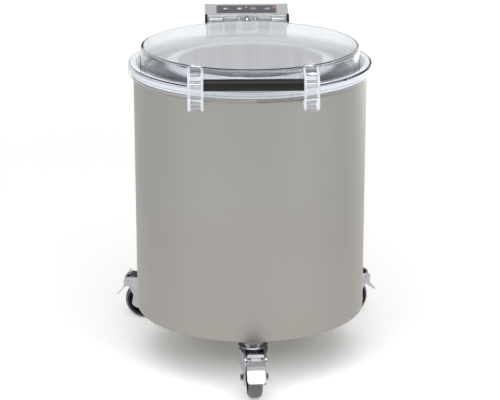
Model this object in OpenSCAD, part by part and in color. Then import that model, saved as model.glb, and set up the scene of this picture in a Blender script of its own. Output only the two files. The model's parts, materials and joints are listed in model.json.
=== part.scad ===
// Floor-standing electric salad dryer: a steel drum on three braked casters holds a spinning
// basket, with a clear hinged lid, a bail handle and a rear column for the motor and controls.
// The origin lies on the floor under the drum's axis, the front is -Y and +Z is up.

/* [Drum] */
// Outer diameter of the drum
drum_d = 516; // [430:1:620]
// Height of the drum from its lower edge to its rim
drum_h = 555; // [460:1:670]
// Thickness of the drum's sheet
drum_wall = 1.5; // [1:0.1:2.5]
// Radius of the stiffening bead below the rim
bead_r = 4.5; // [3.5:0.5:6]
// Distance of the bead's middle below the rim
bead_drop = 14; // [14:1:24]
// Height of the tank floor above the drum's lower edge
tank_floor_rise = 78; // [74:1:110]
// Thickness of the tank floor
tank_floor_t = 3; // [2:0.5:4]

/* [Lid] */
// Overhang of the lid's skirt beyond the drum
lid_overhang = 12; // [10:0.5:16]
// Thickness of the clear moulding
lid_wall = 3; // [2:0.5:4]
// Depth of the skirt that hangs over the rim
skirt_h = 22; // [18:1:26]
// Width of the flat flange between the skirt and the dome
flange_w = 27; // [24:1:32]
// Height of the dome above the flange
dome_h = 36; // [30:1:48]
// Outer rounding of the dome's edge
dome_round = 8; // [5:1:12]
// Distance of the hinge axis behind the skirt
hinge_back = 5; // [3:1:10]
// Distance of the hinge axis below the dome's top
hinge_drop = 4; // [2:1:14]
// Diameter of the hinge pin
hinge_pin_d = 10; // [8:1:12]
// Outer diameter of the hinge barrels
hinge_barrel_d = 22; // [18:1:24]

/* [Handle] */
// Distance between the middles of the two arms
arm_pitch = 241; // [200:1:280]
// Width of each arm
arm_w = 33; // [28:1:40]
// Wall of the arms
arm_wall = 3; // [2.5:0.5:4]
// Diameter of the grip
grip_d = 25; // [22:1:30]
// Diameter of the rod inside the grip
rod_d = 12; // [10:1:14]
// Length of the arms below the grip's axis
arm_leg = 50.5; // [46:0.5:66]
// Diameter of the pins the arms turn on
arm_pin_d = 6; // [5:0.5:8]

/* [Basket] */
// Gap between the basket and the inside of the drum
basket_gap = 26.5; // [20:0.5:40]
// Thickness of the basket's sheet
basket_wall_t = 1.5; // [1:0.1:2.5]
// Width of the collar from the basket's edge to its mouth
collar_w = 69; // [50:1:90]
// Rise of the collar from the basket's edge to its mouth
collar_rise = 18; // [10:1:24]
// Diameter of the holes in the basket's floor
hole_d = 9; // [5:0.5:12]
// Distance between rings of holes in the basket's floor
ring_pitch = 42; // [30:1:60]
// Distance between holes along a ring
hole_pitch = 50; // [30:1:80]
// Width of the slots in the basket's wall
slot_w = 5; // [3:0.5:8]
// Height of the slots in the basket's wall
slot_h = 24; // [12:1:30]
// Number of slots in one row around the wall
hole_count = 36; // [24:1:44]
// Number of rows of slots
hole_rows = 7; // [4:1:8]
// Plain band of wall above the slots
plain_band = 90; // [70:5:140]

/* [Drive] */
// Diameter of the basket's shaft
shaft_d = 25; // [20:1:30]
// Outer diameter of the ball bearings
bearing_d = 52; // [47:1:62]
// Width of the ball bearings
bearing_w = 15; // [12:1:16]
// Pitch diameter of the large pulley
pulley_d = 180; // [150:2:200]
// Pitch diameter of the motor pulley
motor_pulley_d = 70; // [60:2:80]
// Width of the belt
belt_w = 14; // [10:1:16]
// Thickness of the belt
belt_t = 4; // [3:0.5:6]
// Diameter of the motor body
motor_d = 128; // [110:1:154]
// Height of the motor body
motor_h = 180; // [140:5:240]
// Diameter of the motor shaft
motor_shaft_d = 14; // [11:1:19]
// Outer diameter of the drain pipe
drain_d = 40; // [38:1:50]
// Gap between the drain pipe and the belt
drain_gap = 36; // [12:1:45]
// Outer diameter of the drain's hose nose
nose_d = 36; // [30:1:36]
// Length of the drain's hose nose
nose_h = 26; // [16:1:30]
// Wall of the drain's hose nose
drain_wall = 3; // [2:0.5:4]

/* [Column] */
// Width of the column
column_w = 190; // [158:1:228]
// Depth of the column behind its upper front
column_depth = 122; // [120:1:150]
// Thickness of the column's sheet
column_wall = 2; // [1.5:0.5:3]
// Overhang of the control head beyond each side of the column
head_side = 3.5; // [2:0.5:12]
// Depth of the sloping panel
panel_depth = 70; // [66:1:84]
// Rise of the panel from its front edge to its back edge
panel_rise = 12.5; // [6:0.5:20]
// Margin of the keypad beside the outer keys' places
keypad_side = 7.2; // [6:0.2:12]
// Depth of the keypad
keypad_depth = 45; // [40:1:52]
// Distance between keys
key_pitch = 32.4; // [30:0.1:36]
// Bore of the cable gland
gland_bore = 10; // [7:0.5:14]

/* [Casters] */
// Diameter of the wheels
wheel_d = 90; // [75:1:108]
// Height of the caster's top above its wheel
caster_rise = 24; // [22:1:32]
// Width of the tyres
tyre_w = 32; // [26:1:36]
// Distance from the swivel axis to the axle
trail = 38; // [34:1:44]
// Diameter of the axle bolts
axle_d = 8; // [6:1:10]
// Diameter of the round swivel heads
swivel_d = 66; // [60:1:72]
// Distance of the front swivel axis inside the drum's edge
front_inset = 19; // [0:1:30]
// Distance of the rear swivel axes inside the drum's sides
rear_inset = 45; // [40:1:60]
// Distance of the rear swivel axes inside the drum's back
rear_forward = 56; // [40:1:60]
// Heading of the front caster at rest
front_heading = -87; // [-180:1:180]
// Heading of the left caster at rest
left_heading = 164; // [0:1:360]
// Heading of the right caster at rest
right_heading = 28; // [-180:1:180]

/* [Clearances] */
// Radial play of a shaft in its hole
run_gap = 0.05; // [0.02:0.01:0.1]
// Gap between pieces that move past each other
move_gap = 0.4; // [0.3:0.1:0.8]
// Gap between a piece and its seat
seat_gap = 0.3; // [0.2:0.1:0.5]

/* [Hidden] */
$fn = 96;
big = 2000;
eps = 0.01;
steel = [0.64, 0.63, 0.61];
bright = [0.78, 0.78, 0.79];
clear = [0.86, 0.9, 0.94, 0.45];
black = [0.09, 0.09, 0.1];
rubber = [0.3, 0.31, 0.32];
grey = [0.45, 0.45, 0.48];

caster_h = wheel_d + caster_rise;
chassis_t = 5;
drum_z = caster_h + chassis_t;
drum_r = drum_d / 2;
drum_ri = drum_r - drum_wall;
rim_z = drum_z + drum_h;
bead_z = rim_z - bead_drop;
bead_out = drum_r + 1 + bead_r;
floor_z = drum_z + tank_floor_rise;
sleeve_wall = 2;

gasket_grip = 9;
gasket_side = 3.5;
gasket_h = 9;
lid_r = drum_r + lid_overhang;
flange_under = rim_z + gasket_h;
flange_z = flange_under + lid_wall;
skirt_z = flange_z - skirt_h;
dome_r = lid_r - flange_w;
dome_z = flange_z + dome_h;
skirt_round = 6;
skirt_cut_angle = 60;
hinge_y = lid_r + hinge_back;
hinge_z = dome_z - hinge_drop;
barrel_r = hinge_barrel_d / 2;
pin_r = hinge_pin_d / 2;
knuckle_in = 25;
knuckle_w = 28;
knuckle_r = pin_r + 2.5;
visor_gap = 1;
roof_rise = 10.5;
roof_back = 9;
rib_t = 4;
cap_t = 6;
switch_half = 14;

arm_x = arm_pitch / 2;
arm_in = arm_x - arm_w / 2;
lug_w = arm_w - 2 * arm_wall - 2 * move_gap;
arm_eye = 10;
grip_lift = 1;
pivot_gap = 3.4;
pivot_y = -sqrt(pow(dome_r, 2) - pow(arm_in, 2)) - arm_eye - pivot_gap;
pivot_z = dome_z - 3;
grip_y = -lid_r - 10;
grip_z = flange_z + grip_lift + grip_d / 2;
arm_front = grip_y - 17;
arm_back = grip_y - 3;
arm_low = grip_z - arm_leg;
lip_t = 8;

basket_r = drum_ri - basket_gap;
basket_ri = basket_r - basket_wall_t;
basket_z = floor_z + 75;
basket_top = rim_z - 7;
mouth_r = basket_r - collar_w;
collar_skirt = 17;
lip_r = 3;
row_pitch = (basket_top - basket_z - plain_band - 30) / (hole_rows - 1);

shaft_r = shaft_d / 2;
bridge_t = 4;
bridge_w = 150;
bridge_leg = 22;
house_flange_t = 8;
bridge_top = floor_z - house_flange_t;
house_r = bearing_d / 2 + 9;
house_low = bridge_top - 17;
house_top = floor_z + 57;
seal_t = 7;
bearing_z = [house_low + 2, house_top - seal_t - bearing_w];
belt_z = drum_z + 23;
pulley_r = pulley_d / 2 - seat_gap;
motor_pulley_r = motor_pulley_d / 2 - seat_gap;
pulley_side = 2;
hub_r = 30;
hub_flange_r = 65;
hub_flange_t = 8;
hub_low = house_top + 4;
hub_top = basket_z + 36;
stud_r = 8;
knob_r = 32;
knob_h = 30;

column_front = hinge_y + 23;
column_back = column_front + column_depth;
column_half = column_w / 2;
block_half = column_half - 3;
head_w = column_w + 2 * head_side;
keypad_w = 4 * key_pitch + 2 * keypad_side;
column_top = dome_z - 31;
ledge_z = bead_z - bead_r - 4;
motor_y = column_back - column_wall - motor_d / 2 - 4;
motor_plate_t = 8;
motor_plate_z = drum_z + 53;
motor_z = motor_plate_z + motor_plate_t;
belt_window_x = column_half - 15;
panel_front_z = dome_z + 0.5;
panel_slope = atan(panel_rise / panel_depth);
head_wall = 1.5;
head_tail = 12;
keypad_t = 1.5;
key_size = [24, 20];
key_top = 1;
key_round = 3;
key_flange = 1.2;
key_flange_t = 1;
key_gap = 0.4;
cover_t = 2;
gland_pos = [60, drum_z + 30];

wheel_r = wheel_d / 2;
core_r = wheel_r - 8;
axle_r = axle_d / 2;
plate_t = 4.6;
plate_r = 24;
plate_z = caster_h - plate_t;
swivel_r = swivel_d / 2;
king_r = 6;
crown_top = plate_z - move_gap;
crown_z = crown_top - 15;
flange_low = crown_top - 4.5;
leg_in = tyre_w / 2 + 4.5;
leg_t = 3.5;
cheek_out = swivel_r - 2;
cheek_wide = 24;
eye_r = 11.5;
pedal_pivot = [trail + 33, caster_h - 19.5];
shoulder_z = wheel_r + 31;
shoulder_low = wheel_r + 14;
nut_t = 6.5;
nut_r = 7.5;
pedal_pin_r = 2.5;
pedal_half = leg_in - 1;
pedal_sheet = 2.5;

front_reach = drum_r - front_inset;
rear_side = drum_r - rear_inset;
rear_back = drum_r - rear_forward;
FRONT = [[0, -front_reach], front_heading];
LEFT = [[-rear_side, rear_back], left_heading];
RIGHT = [[rear_side, rear_back], right_heading];
drain_pos = [-pulley_d / 2 - belt_t - drain_gap - drain_d / 2, 0];

// A tube with its lower end at z
module tube(z, h, r_out, r_in) {
  translate([0, 0, z])
    difference() {
      cylinder(h = h, r = r_out);
      translate([0, 0, -eps]) cylinder(h = h + 2 * eps, r = r_in);
    }
}

// A solid profile from the axis to r, from z0 to z1, with its upper outer corner rounded
module rounded_profile(r, z0, z1, c) {
  translate([0, z0]) square([r - c, z1 - z0]);
  translate([0, z0]) square([r, z1 - c - z0]);
  translate([r - c, z1 - c])
    intersection() {
      circle(c);
      square(c);
    }
}

// A bar of round section along X, centred on x = 0
module cross_bar(y, z, r, length) {
  translate([-length / 2, y, z]) rotate([0, 90, 0]) cylinder(h = length, r = r);
}

// A round piece along X from x0 to x1
module x_round(x0, x1, y, z, r) {
  translate([x0, y, z]) rotate([0, 90, 0]) cylinder(h = x1 - x0, r = r);
}

// Extrudes an outline drawn in Y and Z along X from x0 to x1
module along_x(x0, x1) {
  translate([x0, 0, 0]) rotate([90, 0, 90]) linear_extrude(height = x1 - x0) children();
}

// A flat plate with round corners, centred on its own middle
module round_plate(size, c, t) {
  linear_extrude(height = t) {
    square([size[0] - 2 * c, size[1]], center = true);
    square([size[0], size[1] - 2 * c], center = true);
    for (sx = [-1, 1], sy = [-1, 1])
      translate([sx * (size[0] / 2 - c), sy * (size[1] / 2 - c)]) circle(c);
  }
}

// Outline around two pulleys with their middles on the Y axis
module loop_outline(r1, r2, gap) {
  lean = asin((r1 - r2) / gap);
  circle(r1);
  translate([0, gap]) circle(r2);
  polygon([
    [r1 * cos(lean), r1 * sin(lean)],
    [r2 * cos(lean), gap + r2 * sin(lean)],
    [-r2 * cos(lean), gap + r2 * sin(lean)],
    [-r1 * cos(lean), r1 * sin(lean)]
  ]);
}

// The drum with its bead and the slot the belt passes through
module drum_shell() {
  color(steel)
    difference() {
      union() {
        translate([0, 0, drum_z]) cylinder(h = drum_h, r = drum_r);
        translate([0, 0, bead_z]) rotate_extrude() translate([drum_r + 1, 0]) circle(bead_r);
      }
      translate([0, 0, drum_z - eps]) cylinder(h = drum_h + 2 * eps, r = drum_ri);
      translate([-belt_window_x, 0, belt_z - belt_w / 2 - 6])
        cube([2 * belt_window_x, big, belt_w + 12]);
    }
}

// Soft edging that grips the rim and carries the lid
module rim_gasket() {
  color(bright)
    rotate_extrude()
      difference() {
        translate([drum_ri - gasket_side, rim_z - gasket_grip])
          square([drum_wall + 2 * gasket_side, gasket_grip + gasket_h - seat_gap]);
        translate([drum_ri, rim_z - gasket_grip - eps]) square([drum_wall, gasket_grip + eps]);
      }
}

// Floor of the tank with an upturned edge and a sleeve around the bearing housing
module tank_floor() {
  edge_h = 12;
  sleeve_h = 45;
  color(steel)
    difference() {
      rotate_extrude() {
        translate([house_r, floor_z]) square([drum_ri - house_r, tank_floor_t]);
        translate([drum_ri - sleeve_wall, floor_z]) square([sleeve_wall, edge_h]);
        translate([house_r, floor_z]) square([sleeve_wall, sleeve_h]);
      }
      translate([drain_pos[0], drain_pos[1], floor_z - eps])
        cylinder(h = tank_floor_t + 2 * eps, r = drain_d / 2);
    }
}

// Channel across the drum that carries the bearing housing
module drive_bridge() {
  color(grey)
    intersection() {
      difference() {
        translate([-drum_r, -bridge_w / 2, bridge_top - bridge_leg])
          cube([2 * drum_r, bridge_w, bridge_leg]);
        translate([-drum_r - eps, bridge_t - bridge_w / 2, bridge_top - bridge_leg - eps])
          cube([2 * drum_r + 2 * eps, bridge_w - 2 * bridge_t, bridge_leg - bridge_t + eps]);
        cylinder(h = big, r = house_r);
        translate([drain_pos[0], drain_pos[1], 0]) cylinder(h = big, r = drain_d / 2 + move_gap);
      }
      cylinder(h = big, r = drum_ri);
    }
}

// Base plate with pads for the casters and a foot for the column
module chassis() {
  inset = 8;
  pad_r = plate_r + 3;
  ear_w = 64;
  color(grey)
    translate([0, 0, caster_h])
      difference() {
        linear_extrude(height = chassis_t) {
          circle(drum_ri - inset);
          translate([0, -front_reach]) circle(plate_r);
          for (s = [-1, 1]) {
            translate([s * rear_side, rear_back]) circle(pad_r);
            rotate(90 - s * atan(rear_side / rear_back))
              translate([0, -ear_w / 2]) square([norm([rear_side, rear_back]), ear_w]);
          }
          translate([-column_half, 0]) square([column_w, column_back]);
        }
        translate([drain_pos[0], drain_pos[1], -eps])
          cylinder(h = chassis_t + 2 * eps, r = drain_d / 2 + 2);
      }
}

// Flanged housing for the two bearings and the seal
module bearing_housing() {
  shoulder = 3.5;
  color(grey)
    rotate_extrude()
      difference() {
        union() {
          translate([0, house_low]) square([house_r, house_top - house_low]);
          translate([0, bridge_top]) square([hub_flange_r, house_flange_t]);
        }
        translate([0, house_low - eps])
          square([bearing_d / 2, bearing_z[0] + bearing_w - house_low + eps]);
        translate([0, house_low]) square([bearing_d / 2 - shoulder, house_top - house_low]);
        translate([0, bearing_z[1]]) square([bearing_d / 2, house_top - bearing_z[1] + eps]);
      }
}

// Two ball bearings drawn as closed rings
module ball_bearings() {
  color(bright)
    for (z = bearing_z)
      tube(z, bearing_w, bearing_d / 2, shaft_r + run_gap);
}

// Lip seal on top of the upper bearing
module shaft_seal() {
  color(black) tube(house_top - seal_t, seal_t, bearing_d / 2, shaft_r + run_gap);
}

// Drain pipe with a flange on the tank floor, pointing down through the base
module drain_spigot() {
  flange_t = 2;
  nose_z = caster_h - 4;
  low = nose_z - nose_h;
  color(steel)
    translate([drain_pos[0], drain_pos[1], 0])
      difference() {
        union() {
          translate([0, 0, low]) cylinder(h = nose_h + eps, r = nose_d / 2);
          translate([0, 0, nose_z]) cylinder(h = floor_z + tank_floor_t - nose_z, r = drain_d / 2);
          translate([0, 0, floor_z + tank_floor_t]) cylinder(h = flange_t, r = drain_d / 2 + 8);
        }
        translate([0, 0, low - eps]) cylinder(h = big, r = nose_d / 2 - drain_wall);
      }
}

// Vertical motor with cooling rings and a fan cover
module drive_motor() {
  fin_pitch = 14;
  ring_t = 7;
  groove = 5;
  bell_h = 30;
  color(grey)
    translate([0, motor_y, motor_z])
      difference() {
        rotate_extrude()
          difference() {
            rounded_profile(motor_d / 2, 0, motor_h, 10);
            for (z = [fin_pitch : fin_pitch : motor_h - bell_h])
              translate([motor_d / 2 - groove, z]) square([groove + 1, ring_t]);
          }
        translate([0, 0, -eps]) cylinder(h = motor_h / 2, r = motor_shaft_d / 2 + run_gap);
      }
}

// Shelf in the column that carries the motor
module motor_plate() {
  color(grey)
    difference() {
      translate([column_wall - column_half, 0, motor_plate_z])
        cube([column_w - 2 * column_wall, column_back, motor_plate_t]);
      cylinder(h = big, r = drum_r + seat_gap);
      translate([0, motor_y, 0]) cylinder(h = big, r = motor_shaft_d / 2 + 6);
    }
}

// Flat belt around both pulleys
module drive_belt() {
  color(black)
    translate([0, 0, belt_z - belt_w / 2])
      linear_extrude(height = belt_w)
        difference() {
          loop_outline(pulley_d / 2 + belt_t, motor_pulley_d / 2 + belt_t, motor_y);
          loop_outline(pulley_d / 2, motor_pulley_d / 2, motor_y);
        }
}

// Body of the column, without its open back, cut to the drum's curve
module column_housing() {
  inner = column_half - column_wall;
  color(steel)
    difference() {
      union() {
        translate([-column_half, 0, drum_z]) cube([column_w, column_back, ledge_z - drum_z]);
        translate([-column_half, column_front, drum_z])
          cube([column_w, column_depth, column_top - drum_z]);
      }
      translate([-inner, 0, drum_z - eps])
        cube([2 * inner, column_back + 1, ledge_z - column_wall - drum_z]);
      translate([-inner, column_front + column_wall, drum_z - eps])
        cube([2 * inner, column_depth, column_top - column_wall - drum_z]);
      cylinder(h = big, r = drum_r);
    }
}

// Removable back of the column with cooling slots and the gland's hole
module rear_cover() {
  vent_w = 100;
  vent_h = 5;
  vent_pitch = 14;
  vents = 9;
  vent_z = drum_z + 200;
  color(steel)
    difference() {
      translate([-column_half, column_back, drum_z])
        cube([column_w, cover_t, column_top - drum_z]);
      for (i = [0 : vents - 1])
        translate([-vent_w / 2, column_back - 1, vent_z + i * vent_pitch])
          cube([vent_w, cover_t + 2, vent_h]);
      translate([gland_pos[0], column_back - 1, gland_pos[1]])
        rotate([-90, 0, 0]) cylinder(h = cover_t + 2, r = gland_bore / 2 + 3);
    }
}

// Outline of the control head from the side
module head_outline(inset) {
  tail_z = panel_front_z + panel_rise - 6;
  polygon([
    [column_front + inset, column_top + inset],
    [column_front + inset, panel_front_z - inset],
    [column_front + panel_depth, panel_front_z + panel_rise - inset],
    [column_front + panel_depth + head_tail - inset, tail_z - inset],
    [column_front + panel_depth + head_tail - inset, column_top + inset]
  ]);
}

// Moves to the middle of the sloping panel with Z along its normal
module on_panel() {
  translate([0, column_front + panel_depth / 2, panel_front_z + panel_rise / 2])
    rotate([panel_slope, 0, 0]) children();
}

// Sheet-steel head with a window below the keypad
module control_head() {
  window = [keypad_w - 12, keypad_depth - 12];
  color(steel)
    difference() {
      along_x(-head_w / 2, head_w / 2) head_outline(0);
      along_x(head_wall - head_w / 2, head_w / 2 - head_wall) head_outline(head_wall);
      on_panel() translate([-window[0] / 2, -window[1] / 2, -10]) cube([window[0], window[1], 20]);
    }
}

// Middle of a key along the panel
function key_x(i) = (i - 1.5) * key_pitch;

// Keypad with an opening for each key
module keypad_frame() {
  color(grey)
    on_panel()
      difference() {
        round_plate([keypad_w, keypad_depth], 4, keypad_t);
        for (i = [0 : 3])
          translate([key_x(i), 0, -1])
            round_plate(key_size + 2 * [key_gap, key_gap], key_round + key_gap, keypad_t + 2);
      }
}

// One sprung key, held behind the keypad by its flange
module key(i) {
  flange = key_size + 2 * [key_flange, key_flange];
  color(grey)
    on_panel()
      translate([key_x(i), 0, 0]) {
        translate([0, 0, -seat_gap - key_flange_t]) round_plate(flange, key_round, key_flange_t);
        translate([0, 0, -seat_gap - eps])
          round_plate(key_size, key_round, keypad_t + key_top + seat_gap + eps);
      }
}

// Circuit board under the keys
module control_board() {
  board_t = 1.6;
  board = [keypad_w - 16, keypad_depth - 16];
  post = 5;
  depth = 4.5;
  color("darkgreen")
    on_panel() {
      translate([-board[0] / 2, -board[1] / 2, -depth - board_t]) cube([board[0], board[1], board_t]);
      for (s = [-1, 1])
        translate([s * key_pitch, 0, -depth - eps]) cylinder(h = depth + eps, r = post / 2);
    }
}

// Two knuckles that hold the hinge pin, on arms that come up from the column below the lid's sweep
module hinge_brackets() {
  foot = 3;
  reach = column_front - hinge_y;
  hang_top = 12;
  hang_low = 30;
  color(grey)
    for (s = [-1, 1])
      difference() {
        along_x(s * (knuckle_in + knuckle_w / 2) - knuckle_w / 2,
          s * (knuckle_in + knuckle_w / 2) + knuckle_w / 2) {
          translate([hinge_y, hinge_z]) {
            circle(knuckle_r);
            polygon([
              [-knuckle_r, 0], [knuckle_r, 0], [knuckle_r, -hang_top], [reach, -hang_top - 4],
              [reach, -hang_low], [4, -hang_low], [-knuckle_r, -hang_top - 4]
            ]);
          }
          translate([column_front - foot, ledge_z]) square([foot, hinge_z - hang_low - ledge_z + eps]);
        }
        cross_bar(hinge_y, hinge_z, pin_r, 2 * block_half);
      }
}

// Steel pins through the hinge, one on each side of the switch cap
module hinge_pin() {
  color(bright)
    difference() {
      cross_bar(hinge_y, hinge_z, pin_r, 2 * (block_half + move_gap + cap_t - 2));
      cube([2 * (switch_half + 1), big, big * 2], center = true);
    }
}

// Dark caps on the ends of the pin
module hinge_caps() {
  color(black)
    difference() {
      for (s = [-1, 1])
        translate([s * (block_half + move_gap + cap_t / 2), hinge_y, hinge_z])
          rotate([0, 90, 0]) cylinder(h = cap_t, r = barrel_r + 1, center = true);
      cross_bar(hinge_y, hinge_z, pin_r, 2 * (block_half + move_gap + cap_t - 2));
    }
}

// Domed cap of the lid's safety switch, between the two hinge pins
module lid_switch() {
  cap_r = 7;
  cap_len = column_front - hinge_y - 4;
  drop = 3;
  color(bright)
    translate([0, column_front, hinge_z - drop])
      rotate([90, 0, 0]) {
        cylinder(h = cap_len, r = cap_r);
        translate([0, 0, cap_len]) sphere(cap_r);
      }
}

// Gland for the mains lead, low on the rear cover
module cable_gland() {
  body_r = gland_bore / 2 + 3;
  nut_af_r = gland_bore / 2 + 8;
  color(black)
    translate([gland_pos[0], column_back, gland_pos[1]])
      rotate([-90, 0, 0])
        difference() {
          union() {
            translate([0, 0, -4]) cylinder(h = cover_t + 4 + 20, r = body_r);
            translate([0, 0, cover_t]) cylinder(h = 7, r = nut_af_r, $fn = 6);
            translate([0, 0, -5]) cylinder(h = 5, r = nut_af_r, $fn = 6);
          }
          translate([0, 0, -10]) cylinder(h = 50, r = gland_bore / 2);
        }
}

// Screws of the rear cover
module cover_screws() {
  head_r = 5;
  head_t = 3;
  inset = 10;
  color(bright)
    for (s = [-1, 1], z = [drum_z + inset, (drum_z + column_top) / 2, column_top - inset])
      translate([s * (column_half - inset), column_back + cover_t, z])
        rotate([-90, 0, 0]) cylinder(h = head_t, r = head_r);
}

// Shaft of the basket with a stud for the knob
module drive_shaft() {
  low = belt_z - belt_w / 2 - 8;
  color(bright) {
    translate([0, 0, low]) cylinder(h = hub_top - low, r = shaft_r);
    translate([0, 0, hub_top - eps]) cylinder(h = knob_h - 8, r = stud_r);
  }
}

// Large pulley with rims that guide the belt and a spoked web
module driven_pulley() {
  half = belt_w / 2 + pulley_side;
  rim_t = 8;
  web_t = 6;
  boss_r = shaft_r + 12;
  spoke_hole = (pulley_r - rim_t - boss_r) / 2 - 5;
  color(grey)
    translate([0, 0, belt_z])
      difference() {
        rotate_extrude() {
          translate([pulley_r - rim_t, -half]) square([rim_t, 2 * half]);
          translate([shaft_r, -web_t / 2]) square([pulley_r - rim_t - shaft_r + eps, web_t]);
          translate([shaft_r, -half]) square([boss_r - shaft_r, 2 * half]);
        }
        for (a = [0 : 60 : 300])
          rotate([0, 0, a])
            translate([(pulley_r - rim_t + boss_r) / 2, 0, -half])
              cylinder(h = 2 * half, r = spoke_hole);
      }
}

// Hub that carries the basket on the shaft
module basket_hub() {
  color(grey)
    rotate_extrude() {
      translate([shaft_r, hub_low]) square([hub_r - shaft_r, hub_top - hub_low]);
      translate([shaft_r, basket_z - hub_flange_t]) square([hub_flange_r - shaft_r, hub_flange_t]);
    }
}

// Slotted wall of the basket
module basket_wall() {
  first_row = basket_z + 30;
  color(bright)
    difference() {
      tube(basket_z, basket_top - basket_z, basket_r, basket_ri);
      for (row = [0 : hole_rows - 1], i = [0 : hole_count - 1])
        rotate([0, 0, (i + (row % 2) / 2) * 360 / hole_count])
          translate([basket_r, 0, first_row + row * row_pitch])
            cube([8 * basket_wall_t, slot_w, slot_h], center = true);
    }
}

// Floor of the basket with rings of holes
module basket_floor() {
  floor_t = 2;
  edge = 25;
  color(bright)
    difference() {
      tube(basket_z, floor_t, basket_ri, hub_r);
      for (r = [hub_flange_r + ring_pitch : ring_pitch : basket_ri - edge])
        for (a = [0 : 360 / round(2 * PI * r / hole_pitch) : 359])
          rotate([0, 0, a]) translate([r, 0, basket_z - 1]) cylinder(h = floor_t + 2, r = hole_d / 2);
    }
}

// Spun cone on top of the basket with a rolled mouth
module basket_collar() {
  t = basket_wall_t;
  color(bright)
    rotate_extrude() {
      polygon([
        [basket_r, basket_top - collar_skirt],
        [basket_r + t, basket_top - collar_skirt],
        [basket_r + t, basket_top + t],
        [mouth_r, basket_top + collar_rise + t],
        [mouth_r, basket_top + collar_rise],
        [basket_r, basket_top]
      ]);
      translate([mouth_r + lip_r, basket_top + collar_rise - lip_r + t]) circle(lip_r);
    }
}

// Knob that locks the basket on its shaft
module basket_knob() {
  flute_r = 7;
  flutes = 8;
  color(black)
    difference() {
      translate([0, 0, hub_top]) rotate_extrude() rounded_profile(knob_r, 0, knob_h, 8);
      translate([0, 0, hub_top - eps]) cylinder(h = knob_h - 8 + eps, r = stud_r);
      for (i = [0 : flutes - 1])
        rotate([0, 0, i * 360 / flutes])
          translate([knob_r + 3, 0, hub_top - 1]) cylinder(h = knob_h + 2, r = flute_r);
    }
}

// Shaft of the motor
module motor_shaft() {
  low = belt_z - belt_w / 2 - 6;
  color(bright)
    translate([0, motor_y, low]) cylinder(h = motor_z + motor_h / 2 - 2 - low, r = motor_shaft_d / 2);
}

// Small pulley on the motor shaft
module motor_pulley() {
  half = belt_w / 2 + pulley_side;
  color(grey) translate([0, motor_y, 0]) tube(belt_z - half, 2 * half, motor_pulley_r, motor_shaft_d / 2);
}

// Lugs on the dome for the handle's pins
module handle_lugs() {
  lug_r = 8;
  for (s = [-1, 1])
    difference() {
      union() {
        x_round(s * arm_x - lug_w / 2, s * arm_x + lug_w / 2, pivot_y, pivot_z, lug_r);
        along_x(s * arm_x - lug_w / 2, s * arm_x + lug_w / 2)
          polygon([
            [pivot_y, pivot_z + lug_r],
            [pivot_y + 60, pivot_z + lug_r],
            [pivot_y + 60, flange_z + 4],
            [pivot_y + 8, flange_z + 4],
            [pivot_y - 6, pivot_z - 5]
          ]);
      }
      cross_bar(pivot_y, pivot_z, arm_pin_d / 2, big);
      translate([-big / 2, pivot_y + 26, dome_z]) cube([big, big, big]);
    }
}

// Clear lid: skirt, flange and dome, cut away at the back so that it can swing
module lid_shell() {
  cut_y = lid_r * cos(skirt_cut_angle);
  color(clear)
    difference() {
      union() {
        rotate_extrude() {
          rounded_profile(lid_r, skirt_z, flange_z, skirt_round);
          rounded_profile(dome_r, skirt_z, dome_z, dome_round);
        }
        handle_lugs();
      }
      rotate_extrude() {
        rounded_profile(lid_r - lid_wall, skirt_z - 1, flange_under, skirt_round - lid_wall);
        rounded_profile(dome_r - lid_wall, skirt_z - 1, dome_z - lid_wall, dome_round - lid_wall);
      }
      translate([-big / 2, cut_y, skirt_z - 1]) cube([big, big, flange_under - skirt_z + 1]);
    }
}

// Clear hinge moulding on the back of the dome: ribs, a web, a flat-topped bar around the pin, and
// visors over the knuckles
module lid_hinge_block() {
  web_t = 4;
  web_z = flange_z + 4;
  side = knuckle_in + knuckle_w + move_gap;
  spans = [
    [-block_half, -side], [move_gap - knuckle_in, -switch_half],
    [switch_half, knuckle_in - move_gap], [side, block_half]
  ];
  visors = [[-side - eps, move_gap - knuckle_in + eps], [knuckle_in - move_gap - eps, side + eps]];
  color(clear)
    difference() {
      union() {
        for (span = spans) {
          x_round(span[0], span[1], hinge_y, hinge_z, barrel_r);
          translate([span[0], hinge_y - barrel_r, hinge_z])
            cube([span[1] - span[0], barrel_r + roof_back, roof_rise]);
          for (x = [span[0], span[1] - rib_t])
            along_x(x, x + rib_t)
              polygon([
                [dome_r - 40, web_z],
                [hinge_y - barrel_r - 2, web_z],
                [hinge_y, hinge_z - barrel_r],
                [hinge_y, hinge_z + barrel_r],
                [dome_r - 40, dome_z - dome_round - 1]
              ]);
        }
        for (visor = visors)
          along_x(visor[0], visor[1])
            translate([hinge_y, hinge_z])
              difference() {
                translate([-barrel_r, -3]) square([barrel_r + 2, roof_rise + 3]);
                circle(knuckle_r + visor_gap);
              }
        translate([-block_half, dome_r - 40, web_z])
          cube([2 * block_half, hinge_y - barrel_r - 2 - dome_r + 40, web_t]);
      }
      cylinder(h = big, r = dome_r);
      cross_bar(hinge_y, hinge_z, pin_r + run_gap, big);
    }
}

// Pins the arms turn on
module handle_pins() {
  color(bright)
    for (s = [-1, 1])
      x_round(s * arm_x - arm_w / 2, s * arm_x + arm_w / 2, pivot_y, pivot_z, arm_pin_d / 2);
}

// Side outline of an arm: eye, sloping top, grip socket and leg
module arm_outline(inset) {
  translate([pivot_y, pivot_z]) circle(arm_eye - inset);
  polygon([
    [pivot_y, pivot_z + arm_eye - inset],
    [grip_y + 4, grip_z + 20 - inset],
    [arm_front + inset, grip_z + 10 - inset],
    [arm_front + inset, arm_low + inset],
    [arm_back, arm_low + inset],
    [arm_back, grip_z - 24],
    [grip_y + 14, grip_z - 12],
    [grip_y + 18, grip_z + 4],
    [pivot_y, pivot_z - arm_eye + inset]
  ]);
}

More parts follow.
